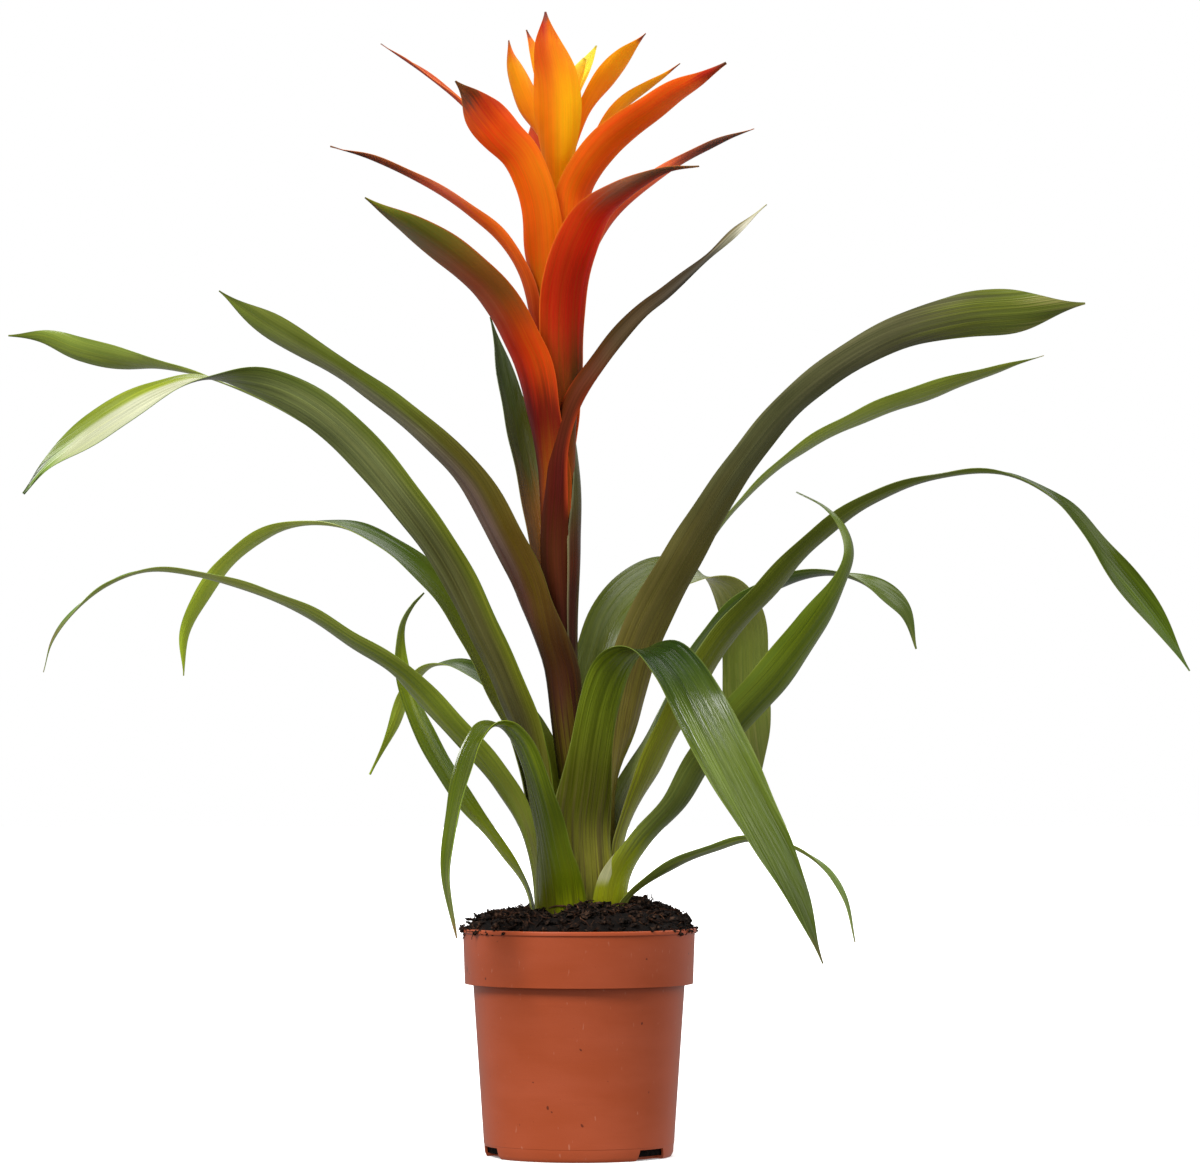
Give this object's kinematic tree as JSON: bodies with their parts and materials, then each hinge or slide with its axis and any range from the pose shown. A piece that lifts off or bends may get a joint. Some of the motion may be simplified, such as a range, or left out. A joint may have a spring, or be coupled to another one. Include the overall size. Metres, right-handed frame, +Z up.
{
  "type": "potted guzmania",
  "caption": "Potted bromeliad: arching strap leaves in a rosette, and a tall stalk with leafy sheaths and a head of red, orange and yellow bracts, in a plain tapered pot of soil.",
  "frame": {"origin": "on the ground, in the middle of the pot's flat underside", "axes": "+Z up, -Y towards the viewer of the picture, +X to that viewer's right"},
  "size_m": [0.6076, 0.25, 0.5811],
  "materials": {
    "pot": "satin terracotta-coloured plastic",
    "soil": "rough dark peat",
    "stalk": "satin",
    "leaf": "glossy green with fine lengthwise veins",
    "dark_leaf": "glossy olive brown with fine lengthwise veins",
    "maroon_bract": "satin",
    "red_bract": "satin",
    "orange_bract": "satin",
    "yellow_bract": "satin"
  },
  "bodies": {
    "root": {"pot": "pot", "soil": "soil", "flower_stalk": "stalk", "leaf_right_broad": "dark_leaf", "leaf_right_slim": "leaf", "leaf_right_long": "leaf", "leaf_right_curled": "leaf", "leaf_back_broad": "leaf", "leaf_right_back": "leaf", "leaf_right_low": "leaf", "leaf_front_broad": "leaf", "leaf_front_left": "leaf", "leaf_left_hooked": "leaf", "leaf_left_short": "leaf", "leaf_left_long": "leaf", "leaf_left_arch": "leaf", "leaf_left_broad": "leaf", "leaf_left_tall": "leaf", "stalk_leaf_left": "dark_leaf", "stalk_leaf_back": "leaf", "stalk_leaf_right": "leaf", "bract_right_slim": "maroon_bract", "bract_left_low": "red_bract", "bract_back_low": "orange_bract", "bract_right_front": "red_bract", "bract_left_slim": "red_bract", "bract_right_back": "orange_bract", "bract_left_front": "orange_bract", "bract_right_high": "orange_bract", "bract_left_back": "orange_bract", "bract_back_high": "red_bract", "bract_right_gold": "yellow_bract", "bract_front_gold": "yellow_bract", "bract_left_gold": "yellow_bract", "bract_right_small": "yellow_bract", "bract_back_small": "yellow_bract", "floret_tall": "yellow_bract", "floret_low": "yellow_bract"}
  },
  "joints": []
}
